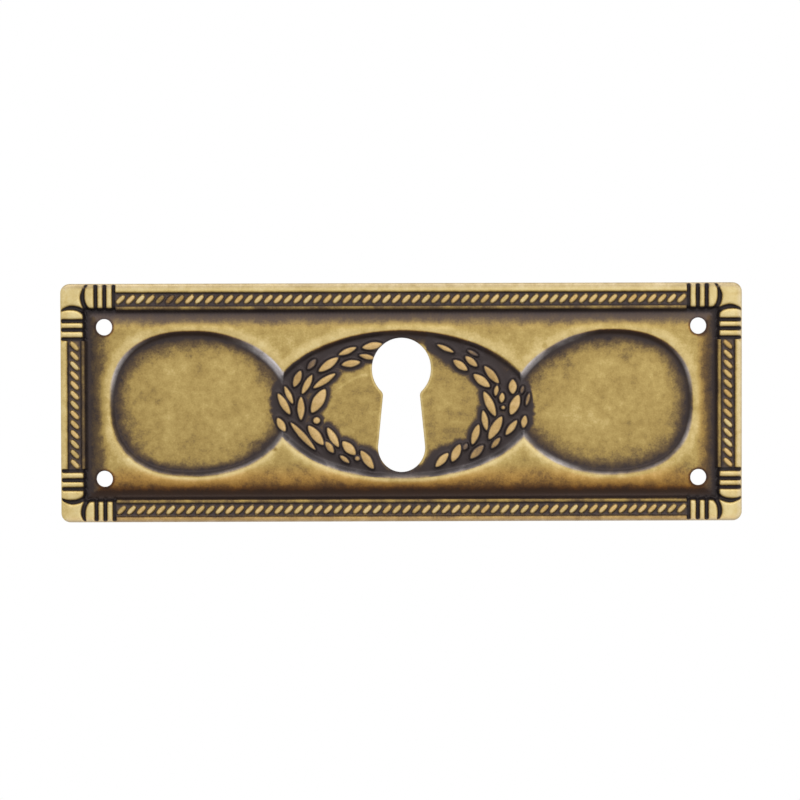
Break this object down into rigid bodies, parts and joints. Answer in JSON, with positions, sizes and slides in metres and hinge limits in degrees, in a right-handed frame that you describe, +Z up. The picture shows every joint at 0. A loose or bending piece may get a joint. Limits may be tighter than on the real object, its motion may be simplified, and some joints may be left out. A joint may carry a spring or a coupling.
{
  "type": "keyhole escutcheon",
  "caption": "Rectangular keyhole plate in antique brass with a rope border, sunk oval panels and a laurel wreath round the keyhole, pinned to a drawer or door front at its corners.",
  "frame": {"origin": "centre of the plate on the plane of the drawer or door front that it lies against", "axes": "+X to the right as seen from the front, +Y into the drawer front, +Z up towards the round head of the keyhole"},
  "size_m": [0.088, 0.002, 0.0308],
  "materials": {
    "antique_brass": "antique brass, dark patina in the recesses and rubbed bright on the relief"
  },
  "bodies": {
    "root": {"escutcheon_plate": "antique_brass"}
  },
  "joints": []
}
